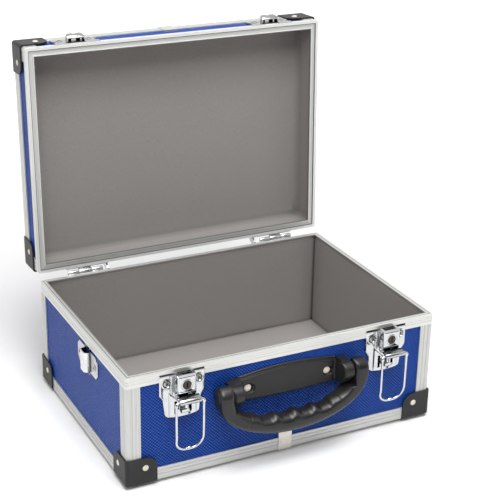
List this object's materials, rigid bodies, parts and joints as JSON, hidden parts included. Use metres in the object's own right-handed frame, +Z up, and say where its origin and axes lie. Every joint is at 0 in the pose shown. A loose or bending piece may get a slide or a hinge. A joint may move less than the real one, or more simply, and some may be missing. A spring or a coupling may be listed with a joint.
{
  "type": "aluminium case",
  "caption": "Hard carrying case with aluminium edge trims, black corner caps, blue panels, draw latches, a hinged lid standing open and a folding handle.",
  "frame": {"origin": "on the floor, under the middle of the outline that the case has with its lid open on the hinge stops", "axes": "+X to the user's right along the case's width, -Y towards the front with the latches and the handle, +Z up"},
  "size_m": [0.3316, 0.3084, 0.3549],
  "materials": {
    "panel_blue": "embossed laminate with a fine diagonal weave, soft sheen",
    "lining_grey": "short grey felt",
    "rim_aluminium": "satin extrusion with fine lines along it",
    "trim_aluminium": "satin extrusion with fine lines along it",
    "rivet_cream": "cream enamel, slightly worn",
    "cap_black": "matte black, rubbed at the edges",
    "foot_rubber": "matte",
    "clip_steel": "dull plated steel",
    "handle_black": "moulded charcoal plastic, soft sheen",
    "pin_steel": "plain steel",
    "lock_brass": "plated, key slot dark",
    "latch_chrome": "bright plated pressings",
    "fitting_steel": "plated steel"
  },
  "bodies": {
    "base": {"base_panel_front": "panel_blue", "base_panel_rear": "panel_blue", "base_panel_left": "panel_blue", "base_panel_right": "panel_blue", "base_panel_bottom": "panel_blue", "base_wall_lining": "lining_grey", "base_floor_lining": "lining_grey", "base_rim": "rim_aluminium", "base_bottom_trim": "trim_aluminium", "base_corner_trims": "trim_aluminium", "base_cap_front_left": "cap_black", "base_cap_front_right": "cap_black", "base_cap_rear_left": "cap_black", "base_cap_rear_right": "cap_black", "base_cap_rivets": "rivet_cream", "feet": "foot_rubber", "base_trim_clip": "clip_steel", "latch_plate_left": "latch_chrome", "lock_box_left": "latch_chrome", "latch_plate_right": "latch_chrome", "lock_box_right": "latch_chrome", "latch_lever_pins": "pin_steel", "handle_plate": "handle_black", "handle_pins": "pin_steel", "strap_bracket_left": "fitting_steel", "strap_bracket_right": "fitting_steel", "hinge_base_leaf_left": "fitting_steel", "hinge_base_leaf_right": "fitting_steel", "hinge_pins": "pin_steel", "fitting_rivets": "pin_steel"},
    "lid": {"lid_panel_front": "panel_blue", "lid_panel_rear": "panel_blue", "lid_panel_left": "panel_blue", "lid_panel_right": "panel_blue", "lid_panel_top": "panel_blue", "lid_liner_tray": "lining_grey", "lid_rim": "rim_aluminium", "lid_top_trim": "trim_aluminium", "lid_corner_trims": "trim_aluminium", "lid_cap_front_left": "cap_black", "lid_cap_front_right": "cap_black", "lid_cap_rear_left": "cap_black", "lid_cap_rear_right": "cap_black", "lid_cap_rivets": "rivet_cream", "lid_trim_clip": "clip_steel", "keeper_left": "latch_chrome", "keeper_right": "latch_chrome", "hinge_lid_leaf_left": "fitting_steel", "hinge_lid_leaf_right": "fitting_steel", "lid_fitting_rivets": "pin_steel"},
    "handle": {"handle_grip": "handle_black"},
    "lock_left": {"lock_cylinder_left": "lock_brass"},
    "lever_left": {"latch_lever_left": "latch_chrome"},
    "bail_left": {"latch_bail_left": "latch_chrome"},
    "lock_right": {"lock_cylinder_right": "lock_brass"},
    "lever_right": {"latch_lever_right": "latch_chrome"},
    "bail_right": {"latch_bail_right": "latch_chrome"}
  },
  "joints": [
    {"name": "lid_hinge", "type": "hinge", "parent": "base", "child": "lid", "pos_m": [0, 0.10548, 0.113], "axis": [1, 0, 0], "range_deg": [0, 92.5]},
    {"name": "handle_swing", "type": "hinge", "parent": "base", "child": "handle", "pos_m": [0, -0.14122, 0.08], "axis": [-1, 0, 0], "range_deg": [0, 95]},
    {"name": "latch_lever_left", "type": "hinge", "parent": "base", "child": "lever_left", "pos_m": [-0.106, -0.13622, 0.0905], "axis": [1, 0, 0], "range_deg": [0, 82]},
    {"name": "latch_bail_left", "type": "hinge", "parent": "lever_left", "child": "bail_left", "pos_m": [-0.106, -0.14694, 0.08803], "axis": [-1, 0, 0], "range_deg": [0, 265.5]},
    {"name": "lock_turn_left", "type": "hinge", "parent": "base", "child": "lock_left", "pos_m": [-0.106, -0.14022, 0.101], "axis": [0, 1, 0], "range_deg": [0, 90]},
    {"name": "latch_lever_right", "type": "hinge", "parent": "base", "child": "lever_right", "pos_m": [0.106, -0.13622, 0.0905], "axis": [1, 0, 0], "range_deg": [0, 82]},
    {"name": "latch_bail_right", "type": "hinge", "parent": "lever_right", "child": "bail_right", "pos_m": [0.106, -0.14694, 0.08803], "axis": [-1, 0, 0], "range_deg": [0, 265.5]},
    {"name": "lock_turn_right", "type": "hinge", "parent": "base", "child": "lock_right", "pos_m": [0.106, -0.14022, 0.101], "axis": [0, 1, 0], "range_deg": [0, 90]}
  ],
  "couplings": [
    {"joint": "latch_bail_left", "follows": "latch_lever_left", "ratio": 3.2374},
    {"joint": "latch_bail_right", "follows": "latch_lever_right", "ratio": 3.2374}
  ]
}
